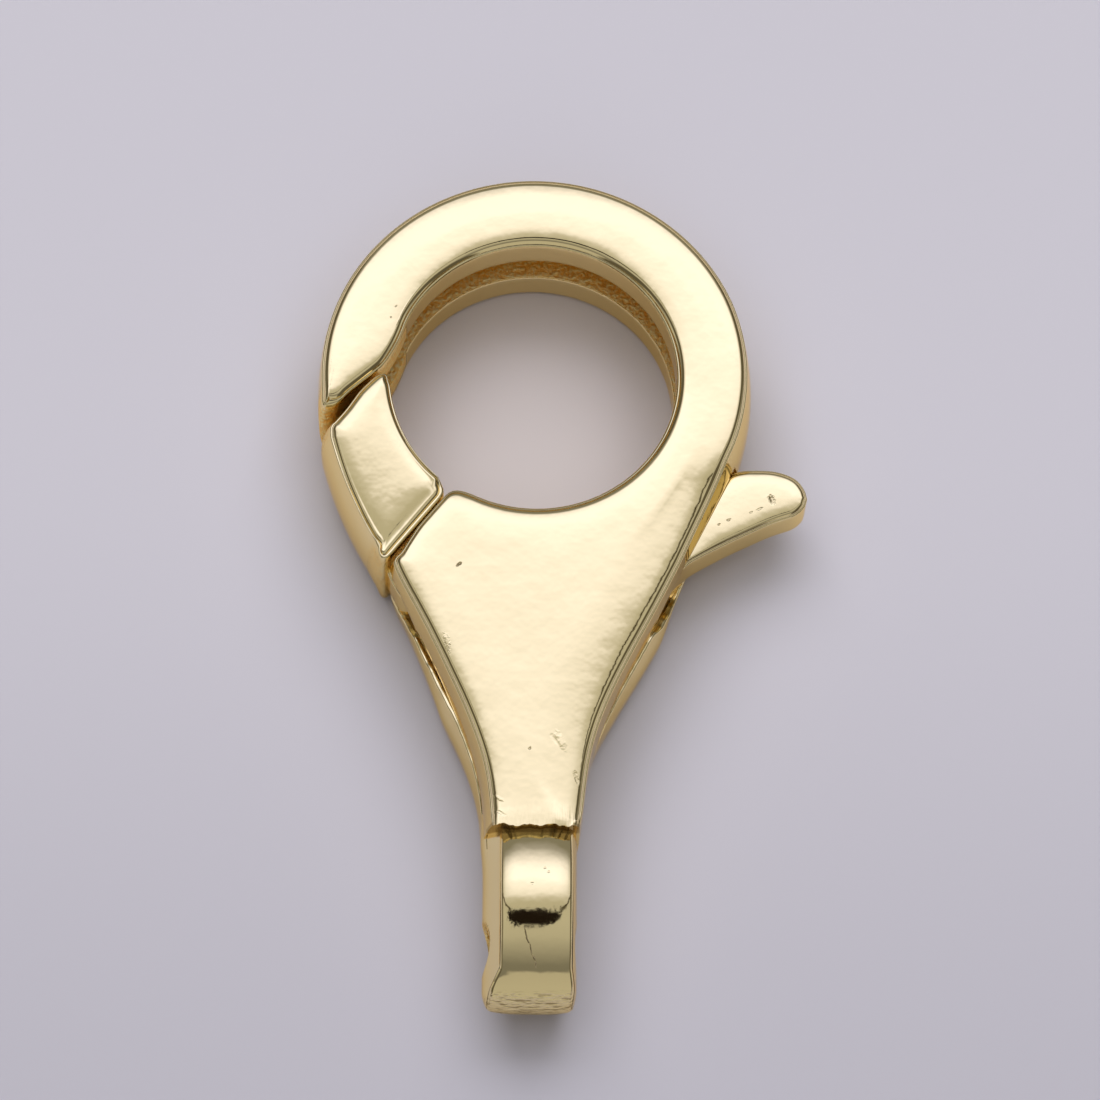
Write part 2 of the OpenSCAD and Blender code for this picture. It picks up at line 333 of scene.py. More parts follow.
def body_outline(s):
    """The four sides of the plate's outline: from the hook round the outside to the neck, across the
    neck, up the left flank and the shoulder and round the hole, and across the hook's cut."""
    hole_r, wider = s.hole_d / MM / 2, (s.neck_w / MM - NECK_W) / 2
    right = flank_line(RIGHT, 17.88)[::-1] + [wider, 0]
    out = np.concatenate([arc(RING, RING_R, 182, MEET)[:-4], right[5:]])
    shoulder = at(hole_r + 0.5, SHOULDER_AT)
    low = shoulder + SHOULDER * 3.2
    left = flank_line(LEFT, low[1]) - [wider, 0]
    hole = arc(RING, hole_r, 157, -116)
    inn = rounded(
        [[*p, 0] for p in hole]
        + [[*(shoulder + SHOULDER * -0.35), 0.4], [*low, 0.3]]
        + [[*p, 0] for p in left[::-1][3:]])
    start = rounded(
        [[*out[0], 0], [-7.72, 19.36, 0.3], [-7.1, 19.5, 0.3], [-6.72, 20.04, 0.2], [-6.19, 20.5, 0],
         [-5.42, 21.16, 0.2], [-4.95, 21.95, 0.5], [*hole[0], 0]])
    return out, inn, start


def ragged(x):
    """How far the neck's lower end departs from its height: the casting's uneven step."""
    line = 0.05 * wave(x, 0, 5, 0.5) + 0.02 * wave(x, 0, 6, 0.15) + 0.05 * (x / 1.8) ** 2
    return line * np.clip((1.8 - np.abs(x)) / 0.2, 0, 1)


def body_slab(s):
    """The plate's outline sampled so that each point on the outside has its partner across the ring or
    the plate on the inside."""
    out, inn, start = body_outline(s)
    hole_r = s.hole_d / MM / 2
    keys = [
        # point on the outside, point on the inside, steps to the next
        (at(RING_R, 160), at(hole_r, 146), 14),
        (at(RING_R, 90), at(hole_r, 90), 40),
        (at(RING_R, 0), at(hole_r, 0), 50),
        (at(RING_R, MEET), at(hole_r, -28), 18),
        ([5.5, 13.5], at(hole_r, -62), 18),
        ([3.7, 10.0], at(hole_r, -92), 18),
        ([2.8, 8.0], at(hole_r, -113), 14),
        ([2.4, 6.7], [-3.9, 15.2], 22),
        ([2.3, 6.1], [-4.95, 13.2], 22),
        ([2.1, 5.2], [-3.45, 9.8], 20),
    ]
    counts = [k[2] for k in keys] + [24]
    out = keyed(out, [k[0] for k in keys], counts)
    inn = keyed(inn, [k[1] for k in keys], counts)
    start = keyed(start, [[-7.3, 19.6], [-5.2, 21.7]], [11, 13, 8])
    across = np.linspace(out[-1, 0], inn[-1, 0], 33)
    end = np.stack([across, out[-1, 1] + ragged(across)], 1)
    slab = Slab(out, end, inn, start)
    across = np.flatnonzero(slab.side == 1)
    across = np.append(across, across[-1] + 1)
    slab.normal[across, 0], slab.normal[across, 1] = np.linspace(1, -1, len(across)), 0
    return slab


def slot_height(x, y, s):
    """Half the height of the space between the plates: none beside the ring's hole, where the plates meet
    at the middle, the lever's slot below it, and a closed seam down the neck."""
    floor = 8.6 + 1.9 * np.clip((x + 2) / 4, 0, 1) + 1.35 * np.clip((x - 3.3) / 0.8, 0, 1) ** 2
    taper = np.clip((y - floor) / np.interp(x, [-2, 2], [2.6, 1.5]), 0, 1)
    wide = np.where(x < -1.5, np.interp(y, [11.7, 12.6], [0.34, 0.86]), 0.86)
    slot = wide * taper ** 0.7 + 0.06 * wave(x, y, 3, 0.5) * np.clip(taper * 3, 0, 1)
    return np.where(y > SLOT_TOP, 0.0, np.maximum(slot, 0.035 + 0.02 * wave(x, y, 4, 0.6)))


def body_zones(slab, hole_r, cut_r):
    """Which points of the body's outline lie where: on the outside, at the neck's end, at the hook's cut,
    and on the inside along the hole, the shoulder or the left flank."""
    x, y = slab.loop.T
    r = np.linalg.norm(slab.loop - RING, axis=1)
    zones = SimpleNamespace(outside=slab.side == 0, neck_end=slab.side == 1, tip=slab.side == 3)
    inside = slab.side == 2
    zones.hole = inside & (r < hole_r + 0.3) & (y > 15.5)
    zones.flank = inside & (y < 13.9)
    zones.shoulder = inside & ~zones.hole & ~zones.flank
    zones.recess = (inside & (r < hole_r + 0.02) & (y > SLOT_TOP)) | (zones.tip & (r < cut_r))
    zones.low_right = zones.outside & (y < 17)
    zones.right = zones.outside & (x > 0) & (y < 24)
    return zones


def body_rim(slab, zones, lip):
    """Sizes of the rim round the body: the lip's and the ledge's radius, and the near and broad falls of
    the face towards its edge."""
    x, y = slab.loop.T
    lip = np.full(len(x), lip)
    lip[zones.shoulder] = 0.14
    lip[zones.neck_end] = 0.06
    ledge = np.full(len(x), 0.06)
    ledge[zones.hole] = 0.08
    ledge[zones.neck_end] = 0.02
    ledge += 0.18 * np.exp(-(((x + 7.25) / 0.3) ** 2 + ((y - 19.5) / 0.25) ** 2))
    near = (np.select([zones.neck_end, zones.low_right | zones.flank], [0.0, 0.02], 0.014),
            np.where(zones.low_right, 0.35, 0.4))
    soft = zones.shoulder | zones.tip | zones.flank
    broad = (np.select([zones.low_right, zones.neck_end, soft], [0.12, 0.0, 0.02], 0.025),
             np.where(zones.low_right, 1.9, 1.2))
    falls = [[slab.blur(v, 0.5) for v in fall] for fall in (near, broad)]
    return slab.blur(lip, 0.2), slab.blur(ledge, 0.12), falls


def body_lean(slab, zones, most, back):
    """The wall's inset at a height. It swells towards mid thickness, and the back plate stands out past
    the front one along the flanks. Across the neck's end both change evenly from side to side."""
    x, y = slab.loop.T
    left_in, right_in = (np.interp(y, *(BACK_IN if back else table)) for table in (LEFT_IN, RIGHT_IN))
    swell = np.select(
        [zones.right, zones.outside, zones.flank, zones.shoulder, zones.tip],
        [right_in, most, left_in, 0.22 * np.clip((15.0 - y) / 1.2, 0, 1),
         most * np.clip((-6.9 - x) / 0.5, 0, 1)], 0.0)
    stand = np.select([zones.right, zones.flank],
                      [np.interp(y, *RIGHT_OUT), np.interp(y, *LEFT_OUT)], 0.0) * back
    on_end = np.flatnonzero(zones.neck_end)
    for side in (swell, stand):
        side[on_end] = np.linspace(side[on_end[0] - 1], side[on_end[-1] + 1], len(on_end))
    swell, stand = slab.blur(swell, 0.15), slab.blur(stand, 0.2)
    return stand, lambda z: swell * (z / WALL) ** 2 - stand * np.clip(z / 0.9, 0, 1) ** 0.6


def plate(s, face):
    """One plate with its half of the ring, built as if for the front: the outline's rings run over the rim
    and down to the middle plane, or to the slot, and in under the face, past the groove."""
    slab = body_slab(s)
    x, y = slab.loop.T
    hole_r, groove, deep_groove = s.hole_d / MM / 2, s.groove_h / MM / 2, s.groove_depth / MM
    zones = body_zones(slab, hole_r, hole_r + deep_groove)
    lip, ledge, falls = body_rim(slab, zones, s.lip / MM)
    stand, lean = body_lean(slab, zones, s.swell / MM, face == "back")
    rings, top = rim(slab, lip, ledge, falls, lean, HALF)
    upright = zones.neck_end & np.roll(zones.neck_end, 1)
    z0, z1 = rings[0][1], rings[-1][1]
    share = np.linspace(0, 1, len(rings))
    rings = [(d, np.where(upright, z0 + (z1 - z0) * t, z)) for t, (d, z) in zip(share, rings)]

    low = np.where(zones.recess, groove, slot_height(x, y, s))
    edge = np.where(zones.recess, 0.07, np.where(y < SLOT_TOP, 0.06, 0.0))
    for t in np.linspace(0, 1, 8)[1:]:
        z = z1 + (low + edge - z1) * t
        rings.append((lean(z), z))
    first_edge = len(rings)
    base = lean(low + edge)
    for a in np.radians([30, 60, 90]):
        rings.append((base + edge * (1 - np.cos(a)), low + edge * (1 - np.sin(a))))
    deep = np.where(zones.recess, deep_groove, base + edge + 0.05 + 0.6 * stand)
    for t in (0.4, 1.0):
        rings.append((base + edge + (deep - base - edge) * t, low))
    final = slot_height(*(slab.loop - slab.normal * deep[:, None]).T, s)
    rings += [(deep + 0.004, final), (deep + 0.02, final)]
    points, faces = slab.mesh(rings, top, lambda a, b: slot_height(a, b, s))

    inner, m = len(rings) - 2, (slab.nu + 1) * (slab.nv + 1)
    across = slab.rim_index()[zones.neck_end]
    on_end = np.r_[across, m + np.flatnonzero(np.tile(zones.neck_end, inner)), len(points) - m + across]
    points[on_end, 1] = NECK_Y + ragged(points[on_end, 0])

    soft = lambda zone, amount, width: slab.blur(np.where(zone, amount, 0.0), width)
    height = points[m:-m, 2]
    order = np.repeat(np.arange(inner), len(x)) - first_edge
    rough = np.clip((order + 0.5) / 2, 0, 1) * np.tile(1 - np.clip(stand / 0.1, 0, 1), inner)
    channel = np.maximum(soft(zones.tip, 0.9, 0.05), 0.5 * soft(zones.shoulder, 1.0, 0.1))
    channel = np.tile(channel, inner) * np.clip((2.05 - height) / 0.4, 0, 1)
    step = np.tile(np.where(zones.neck_end, 0.1, 0.0), inner) * np.clip((2.2 - height) / 0.1, 0, 1)
    walls = np.maximum(rough, np.maximum(channel, step))
    raw_and_shade = np.concatenate([np.zeros(m), walls, np.ones(m)])
    # Painted shade: the plate's inner face towards the slot, lower than y 15.4 mm, gets a share up to 2,
    # which paints it dark brown.
    raw_and_shade[-m:] += np.clip((15.4 - points[-m:, 1]) / 0.5, 0, 1)
    return points, faces, raw_and_shade


# The eye's right and left side: direction, half width at mid thickness and half width in front.
EYE_SIDES = (1, 1.58, 1.4), (-1, 1.72, 1.12)


def eye(s):
    """The eye: an oval carried across the clasp. For each angle round it, the closed profile runs from the
    bore out over one side, across the crowned band and back in over the other side to the bore. The
    sides lean in with the square of the height, so the eye is narrower in front than at mid thickness."""
    bore, low = s.bore_d / MM / 2, BODY_LOW[1]
    a = np.linspace(0, 2 * np.pi, 193)[:-1]
    sunk = 1.2  # how far the eye reaches into the neck
    half_y, half_z = (NECK_Y + sunk - low) / 2, s.eye_t / MM / 2
    mid = low + half_y
    lip, edge = 0.06, 0.13
    t = np.radians(np.linspace(0, 90, 7))
    sides = []
    for sign, middle, front in EYE_SIDES:
        x = np.concatenate([[0.3, 0.9], middle - lip * (1 - np.sin(t)), np.full(12, middle),
                            middle - edge * (1 - np.cos(t)), np.linspace(middle - edge, 0.05, 12)[1:]])
        share = np.concatenate([np.zeros(9), np.linspace(0.06, 0.86, 12), np.ones(18)])
        crown = 0.10 * np.clip((x[-18:] / middle - 0.25) / 0.75, 0, 1) ** 2.4
        inset = np.concatenate([[0, 0], lip * (1 - np.cos(t)), np.zeros(12),
                                crown + np.r_[edge * (1 - np.sin(t)), np.zeros(11)]])
        sides.append((sign * x, share, inset, np.full(len(x), front / middle)))
    x, share, inset, lean = (np.r_[r, l[::-1]] for r, l in zip(*sides))
    ca, sa = np.cos(a)[:, None], np.sin(a)[:, None]
    sz = np.sign(sa) * np.abs(sa) ** np.where(ca > 0, 0.66, 1.0)
    oy, oz = mid + (half_y - inset) * ca, (half_z - inset) * sz
    by, bz = (bore + inset) * ca, (bore + inset) * sa
    y, z = by + (oy - by) * share, bz + (oz - bz) * share
    y, z = np.where(share == 0, by, y), np.where(share == 0, bz, z)
    high = np.clip(1.5 * np.abs(z) / half_z, 0, 1) ** 2
    north = np.clip((y - 2.6) / 1.3, 0, 1)
    z = z - np.sign(z) * 0.08 * north ** 1.5 * np.clip(np.abs(x) / 1.5, 0, 1) ** 3 * (high > 0.3)
    grow = 1 - (1 - lean) * high - 0.17 * np.clip((-1.45 - y) / 0.75, 0, 1) ** 2
    grow = grow + 0.05 * (x < 0) * np.clip((y - 2.4) / 1.4, 0, 1) ** 2 * (1 - high)
    points = np.stack([x * grow, y, z], -1).reshape(-1, 3)
    n, m = y.shape
    k = np.arange(n * m).reshape(n, m)
    faces = np.stack([k, np.roll(k, -1, 0), np.roll(np.roll(k, -1, 1), -1, 0), np.roll(k, -1, 1)], -1)
    raw_and_shade = np.where(share + 0 * y == 0, 0.6, 0.0).ravel()
    return points, faces.reshape(-1, 4), raw_and_shade


def gate(s):
    """The gate: a full-thickness slab between the bowed outer wall and the hole, with its tip an arc about
    the pivot and its lower end along the shoulder."""
    hole_r = s.hole_d / MM / 2 + 0.15
    bow_r, tip_r = 15.0, 11.94
    across = np.array([SHOULDER[1], -SHOULDER[0]])
    on = lambda d: at(hole_r + 0.35, SHOULDER_AT) + SHOULDER * d + across * 0.08
    bow = arc(at(RING_R + 0.2 - bow_r, 191), bow_r, 184, 215)
    tip = arc(PIVOT, tip_r, 144.9, 133)
    hole = arc(RING, hole_r, 183, 228.5)
    out = bow[(bow[:, 1] < 18.3) & (bow[:, 1] > 14.3)]
    start = rounded([[*out[0], 0], [-7.66, 19.0, 0.4], [-7.0, 19.38, 0.6]]
                    + [[*p, 0] for p in tip if -6.3 < p[0] < -5.8]
                    + [[-5.52, 20.98, 0.26], [-5.16, 20.88, 0.26], [*hole[0], 0]])
    end = rounded([[*out[-1], 0], [-5.68, 13.9, 0.2], [-5.3, 13.66, 0.2], [*on(2.7), 0], [*on(-0.1), 0.3],
                   [*hole[-1], 0]])
    slab = Slab(keyed(out, [], [56]), keyed(end, [[-5.0, 14.0], on(0.05)], [14, 8, 6]),
                keyed(hole, [], [56]), keyed(start, [[-7.0, 19.1], [-5.5, 20.8]], [10, 10, 8]))
    x, y = slab.loop.T
    lip = slab.blur(np.select([slab.side == 1, slab.side == 2], [0.3, 0.2], 0.24), 0.15)
    ledge = slab.blur(np.select([slab.side == 1, slab.side == 2], [0.14, 0.05], 0.06), 0.12)
    one = np.ones(len(x))
    most = 0.34
    swell = np.select([slab.side == 0, slab.side == 1, slab.side == 3],
                      [most, most * np.clip((-5.25 - x) / 0.4, 0, 1),
                       0.09 + 0.25 * np.clip(-6.5 - x, 0, 1)], 0.0)
    swell = slab.blur(swell, 0.15)
    lean = lambda z: swell * (z / WALL) ** 2
    rings, flat = rim(slab, lip, ledge, ((0.02 * one, 0.4 * one), (0.03 * one, 1.2 * one)), lean, HALF)

    def lower(a, b):
        """How far the face leans down from its upper left corner towards its lower right end."""
        far = np.clip(((a + 7.1) * 0.45 - (b - 19.3) * 0.89) + 0.5, 0, 9)
        return 0.026 * far + 0.0034 * far ** 2

    top = lambda a, b: flat(a, b) - lower(a, b)
    share = lambda k: (len(rings) - 1 - k) / (len(rings) - 1)
    sunk = [(d, z - share(k) * lower(*(slab.loop - slab.normal * d[:, None]).T))
            for k, (d, z) in enumerate(rings)]
    z0 = rings[-1][1]
    wall = [(lean(z0 * t), z0 * t) for t in np.linspace(1, -1, 13)[1:-1]]
    rings = sunk + wall + [(d, -z) for d, z in sunk[::-1]]
    points, faces = slab.mesh(rings, top, lambda a, b: -top(a, b))
    m = (slab.nu + 1) * (slab.nv + 1)
    raw_and_shade = np.zeros(len(points))
    ends = slab.blur(np.select([slab.side == 3, slab.side == 1], [0.6, 0.4], 0.0), 0.05)
    raw_and_shade[m:-m] = np.tile(ends, len(rings) - 2) * np.clip((1.95 - np.abs(points[m:-m, 2])) / 0.3, 0, 1)
    return points, faces, raw_and_shade


def arm(s):
    """The arm in the slot and the thumb tab: a slab from the gate's heel under the hole to the tab's
    tip. The tab's points move with its tip."""
    hole_r, half = s.hole_d / MM / 2 + 0.25, 0.83
    tip = np.array([LEVER_HIGH[0] + 0.07, RING[1] - 3.95])
    hole = arc(RING, hole_r, 222, 318)
    dx, dy = tip - np.array([9.7, 16.85])
    tab = [[6.0, 17.1, 0.3], [7.2, 17.86, 0.6], [8.75, 17.86, 0.55], [9.45, 17.5, 0.3], [9.72, 17.0, 0.16]]
    under = [[9.72, 16.55, 0.16], [9.4, 16.15, 0.3], [8.5, 15.85, 0.5], [6.8, 15.0, 0.6], [5.4, 14.2, 0.4]]
    shift = lambda row: [row[0] + dx, row[1] + dy, row[2]]
    top = rounded([[-5.3, 15.0, 0]] + [[*p, 0] for p in hole[3:] if p[0] < 4.2]
                  + [shift(row) for row in tab] + [[9.74 + dx, 16.8 + dy, 0]])
    low = rounded(
        [[-4.2, 12.55, 0]] + [[*p, 0] for p in arc(PIVOT, 1.5, 240, 350)]
        + [[4.6, 12.95, 0.3]] + [shift(row) for row in under[::-1]] + [[9.74 + dx, 16.76 + dy, 0]])
    start = rounded([[-5.3, 15.0, 0], [-5.22, 13.75, 0.2], [-4.75, 12.85, 0.2], [-4.2, 12.55, 0]])
    keys = [[4.4, 16.8], [7.3, 17.7], [8.6, 17.7]], [[4.0, 11.9], [6.8, 15.05], [8.4, 15.95]]
    slab = Slab(keyed(top, keys[0], [60, 24, 16, 30]),
                keyed(np.array([top[-1], low[-1]]), [], [12]),
                keyed(low, keys[1], [60, 24, 16, 30]),
                keyed(start, [], [12]))
    x, y = slab.loop.T
    tab = np.clip((x - 5.2) / 1.5, 0, 1)
    lip = slab.blur(0.06 + 0.12 * tab, 0.2)
    one = np.ones(len(x))
    falls = (0.01 + 0.006 * tab, 0.4 * one), (0.012 * tab, 1.1 * one)
    rings, face = rim(slab, lip, 0.05 * one, falls, lambda z: 0 * one, half)
    z0 = rings[-1][1]
    wall = [(0 * x, z0 * t) for t in np.linspace(1, -1, 6)[1:-1]]
    rings = rings + wall + [(d, -z) for d, z in rings[::-1]]
    points, faces = slab.mesh(rings, face, lambda a, b: -face(a, b))
    inside = np.clip((4.9 - points[:, 0]) / 0.6, 0, 1) * np.clip((points[:, 0] + 4.0) / 0.6, 0, 1)
    # Painted shade: the arm where it runs inside the slot gets a share of 1.7, which paints it dark brown.
    return points, faces, 1.7 * inside


# ---- finishes

TINTS = {"cool": (1.0, 1.05, 1.60), "plain": (1.0, 1.0, 0.97), "warm": (1.0, 0.98, 0.92)}


class Nodes:
    """Short calls for building a node tree."""

    def __init__(self, tree):
        self.tree = tree

    def add(self, kind, **values):
        """A node with values for its settings and, under the names of its sockets, its inputs."""
        node = self.tree.nodes.new(kind)
        for name, value in values.items():
            if hasattr(node, name):
                setattr(node, name, value)
            else:
                self.set(node.inputs[name.replace("_", " ")], value)
        return node

    def math(self, kind, a, b=None):
        """One sum, product or other operation on one or two values."""
        node = self.add("ShaderNodeMath", operation=kind)
        self.set(node.inputs[0], a)
        if b is not None:
            self.set(node.inputs[1], b)
        return node.outputs[0]

    def times(self, first, *others):
        """The product of several values."""
        for other in others:
            first = self.math("MULTIPLY", first, other)
        return first

    def span(self, value, low, high):
        """A smooth step from 0 at low to 1 at high, or a straight one over more than 100, for a ramp."""
        kind = "LINEAR" if high - low > 100 else "SMOOTHSTEP"
        return self.add("ShaderNodeMapRange", interpolation_type=kind, Value=value, From_Min=low,
                        From_Max=high).outputs[0]

    def mix(self, kind, a, b, share=1.0):
        """Two colours blended by a share."""
        node = self.add("ShaderNodeMix", data_type="RGBA", blend_type=kind)
        for number, value in ((0, share), (6, a), (7, b)):
            self.set(node.inputs[number], value)
        return node.outputs[2]

    def noise(self, where, scale, detail, rough):
        """An uneven value round a half, its scale in turns per metre."""
        return self.add("ShaderNodeTexNoise", Vector=where, Scale=scale, Detail=detail,
                        Roughness=rough).outputs["Fac"]

    def bump(self, height, distance, under=None):
        """A normal bent by a height times a distance in metres, over the normal under it."""
        node = self.add("ShaderNodeBump", Height=height, Distance=distance)
        if under is not None:
            self.set(node.inputs["Normal"], under)
        return node.outputs[0]

    def ramp(self, value, stops):
        """Colours over angles from -90 to 90 degrees, as brightness times a tint."""
        node = self.add("ShaderNodeValToRGB", Fac=value)
        items = node.color_ramp.elements
        while len(items) < len(stops):
            items.new(0.5)
        for item, (angle, bright, tint) in zip(items, stops):
            item.position = (angle + 90) / 180
            item.color = (*(bright * v for v in TINTS[tint]), 1)
        return node.outputs[0]

    def set(self, socket, value):
        """Links a socket into another or gives it a value."""
        if isinstance(value, bpy.types.NodeSocket):
            self.tree.links.new(value, socket)
        else:
            socket.default_value = value


def new_material(name):
    """A material, its node calls and the inputs of its shader."""
    material = bpy.data.materials.new(name)
    material.use_nodes = True
    return material, Nodes(material.node_tree), material.node_tree.nodes["Principled BSDF"].inputs


# Marks on the front: x, y, turn in degrees, length, width, depth as a share of MARK_DEEP (below zero for a
# burr that stands up) and how dark the mark is stained.
MARK_DEEP = 6.0e-5
MARKS = (
    (-2.67, 13.53, 40, 0.26, 0.10, 0.4, 0.45), (-5.19, 22.94, 0, 0.09, 0.07, 0.15, 0.04),
    (-5.02, 23.37, 40, 0.12, 0.05, 0.15, 0.03), (-0.13, 6.71, 60, 0.14, 0.09, 0.2, 0.25),
    (0.95, 7.0, -67, 0.80, 0.24, -0.1, 0.0), (0.72, 7.05, -55, 0.50, 0.16, 0.06, 0.0),
    (1.50, 5.66, -73, 0.52, 0.16, 0.1, 0.0), (-1.2, 4.88, -33, 0.40, 0.13, -0.1, 0.0),
    (-1.15, 4.33, -27, 0.40, 0.13, 0.1, 0.03), (-3.05, 10.62, -78, 0.70, 0.20, -0.2, 0.0),
    (0.41, 2.37, 0, 0.12, 0.09, 0.08, 0.0), (0.55, 2.22, 0, 0.12, 0.08, 0.08, 0.0),
    (-0.03, 1.78, 0, 0.12, 0.09, 0.07, 0.0),
    (-0.23, 0.02, -76, 0.34, 0.05, 0.4, 0.6), (-0.16, -0.22, -60, 0.22, 0.045, 0.4, 0.7),
    (-0.05, -0.50, -78, 0.36, 0.045, 0.4, 0.6), (0.06, -0.77, -62, 0.24, 0.05, 0.4, 0.6),
    (0.12, -0.96, -86, 0.22, 0.04, 0.4, 0.6),
    (8.47, 16.70, -70, 0.36, 0.24, 0.3, 0.04), (8.42, 16.72, -70, 0.26, 0.06, 0.3, 0.3),
    (6.93, 15.91, 10, 0.20, 0.09, 0.2, 0.12), (6.58, 15.72, 20, 0.14, 0.08, 0.15, 0.08),
    (8.02, 16.33, 25, 0.26, 0.07, 0.12, 0.02), (7.72, 16.2, 25, 0.14, 0.06, 0.12, 0.02),
    (-6.68, 15.22, 0, 0.13, 0.11, 0.4, 0.6))


def marks(n, where, grain):
    """Depth and staining of the pits, nicks, scratches and the crack. Each mark is an ellipse whose edge is
    made uneven by the grain. Fine upright lines above the neck's step and a torn skin at the eye's tail
    are stretched noises that fade out away from there. The wall of the neck's step gets painted shade."""
    rough = n.times(n.math("SUBTRACT", grain, 0.5), 1.6)
    depth = stain_and_shade = None
    for x, y, turn, long, wide, deep, dark in MARKS:
        spot = n.add("ShaderNodeMapping", vector_type="TEXTURE", Vector=where, Location=(x * MM, y * MM, 0),
                     Rotation=(0, 0, np.radians(turn)), Scale=(long / 2 * MM, wide / 2 * MM, 1))
        away = n.add("ShaderNodeVectorMath", operation="LENGTH", Vector=spot.outputs[0])
        inside = n.span(n.math("ADD", away.outputs["Value"], rough), 1.3, 0.2)
        one, two = n.times(inside, -deep), n.times(inside, dark)
        depth = one if depth is None else n.math("ADD", depth, one)
        stain_and_shade = two if stain_and_shade is None else n.math("MAXIMUM", stain_and_shade, two)
    x, y, z = n.add("ShaderNodeSeparateXYZ", Vector=where).outputs
    front = n.span(z, 0.2 * MM, 0.4 * MM)
    depth, stain_and_shade = n.times(depth, front), n.times(stain_and_shade, front)

    stretched = n.add("ShaderNodeMapping", Vector=where, Scale=(1, 0.08, 0.08))
    lines = n.noise(stretched.outputs[0], 8600, 2, 0.6)
    near = n.times(n.span(y, 4.9 * MM, 4.1 * MM), n.span(y, 3.6 * MM, 3.85 * MM))
    depth = n.math("ADD", depth, n.times(lines, near, 0.22))
    stretched = n.add("ShaderNodeMapping", Vector=where, Scale=(0.2, 1, 1))
    lines, near = n.noise(stretched.outputs[0], 8600, 2, 0.6), n.span(y, -1.65 * MM, -2.05 * MM)
    depth = n.math("ADD", depth, n.times(lines, near, 1.4))
    stain_and_shade = n.math("MAXIMUM", stain_and_shade, n.times(near, n.span(lines, 0.46, 0.36), 0.7))

    # Painted shade: the wall of the neck's step, between the face and the eye, is darkened towards dark
    # brown.
    step = n.times(n.span(y, 3.7 * MM, 3.8 * MM), n.span(y, 4.05 * MM, 3.98 * MM),
                   n.span(z, 2.22 * MM, 2.15 * MM), n.span(z, 1.2 * MM, 1.4 * MM),
                   n.span(n.math("ABSOLUTE", x), 1.75 * MM, 1.6 * MM))
    return depth, n.math("MAXIMUM", stain_and_shade, n.times(step, 0.62))


def gold_material(s):
    """Polished gold plating over a casting, made once for both pieces. A fine orange peel and longer soft
    waves bend the mirror image; the unpolished share brings the brown grain of the unpolished casting, and
    above one a painted shade that darkens the slot."""
    if "polished gold" in bpy.data.materials:
        return bpy.data.materials["polished gold"]
    material, n, shader = new_material("polished gold")
    shader["Metallic"].default_value = 1.0
    shader["Specular Tint"].default_value = (1.0, 0.84, 0.55, 1)
    where = n.add("ShaderNodeTexCoord").outputs["Object"]
    raw_and_shade = n.add("ShaderNodeAttribute", attribute_name="raw_and_shade").outputs["Fac"]
    grain = n.noise(where, 7000, 3, 0.6)
    peel = n.noise(where, 1500, 2, 0.5)
    waves = n.noise(where, 260, 1, 0.5)
    depth, stain_and_shade = marks(n, where, grain)
    cast = n.mix("MIX", (0.97, 0.60, 0.15, 1), (1.0, 0.86, 0.44, 1), n.span(grain, 0.4, 0.65))
    # Above one the unpolished share blends to dark brown: painted shade in the slot.
    metal = n.mix("MIX", n.mix("MIX", (*s.gold, 1), cast, raw_and_shade), (0.42, 0.24, 0.06, 1), n.span(raw_and_shade, 1.0, 2.0))
    # The marks' stains and the painted shade on the neck's step blend the colour towards dark brown.
    n.set(shader["Base Color"], n.mix("MIX", metal, (0.20, 0.12, 0.04, 1), stain_and_shade))
    dull = n.math("MINIMUM", n.math("MAXIMUM", raw_and_shade, stain_and_shade), 1.0)
    n.set(shader["Roughness"], n.math("ADD", n.times(dull, 0.34), 0.06))
    bump = n.bump(peel, 7e-6, n.bump(depth, MARK_DEEP, n.bump(waves, 3.0e-5)))
    n.set(shader["Normal"], n.bump(n.times(grain, n.math("MINIMUM", raw_and_shade, 1.0)), 9e-5, bump))
    return material


def steel_material():
    """Drawn steel, whose roughness is uneven."""
    material, n, shader = new_material("pin steel")
    shader["Metallic"].default_value = 1.0
    shader["Base Color"].default_value = (0.55, 0.55, 0.57, 1)
    drawn = n.noise(n.add("ShaderNodeTexCoord").outputs["Object"], 4000, 2, 0.5)
    n.set(shader["Roughness"], n.add("ShaderNodeMapRange", Value=drawn, To_Min=0.25, To_Max=0.45).outputs[0])
    return material


def floor_material(s, z):
    """A matt pale floor at height z. Painted shade makes it darker towards the viewer, and a painted
    reflection of the gold's light makes it warmer under the ring."""
    material, n, shader = new_material("floor")
    where = n.add("ShaderNodeTexCoord").outputs["Object"]
    away = n.add("ShaderNodeVectorMath", operation="DISTANCE", Vector=where)
    n.set(away.inputs[1], (0.0, RING[1] * MM, z))
    y = n.add("ShaderNodeSeparateXYZ", Vector=where).outputs["Y"]
    colour = (*s.floor, 1)
    # Painted shade: the floor colour darkens by up to 14 percent towards the viewer, as light falls off away
    # from the window.
    plain = n.mix("MIX", colour, n.mix("MULTIPLY", colour, (0.86, 0.86, 0.87, 1)),
                  n.span(y, 22 * MM, -8 * MM))
    # Painted reflection: the gold's warm bounce light is painted into the floor colour near the ring.
    cast = n.mix("MULTIPLY", colour, (1.01, 0.955, 0.86, 1))
    n.set(shader["Base Color"], n.mix("MIX", plain, cast, n.span(away.outputs["Value"], 11 * MM, 4 * MM)))
    shader["Roughness"].default_value = 0.8
    return material


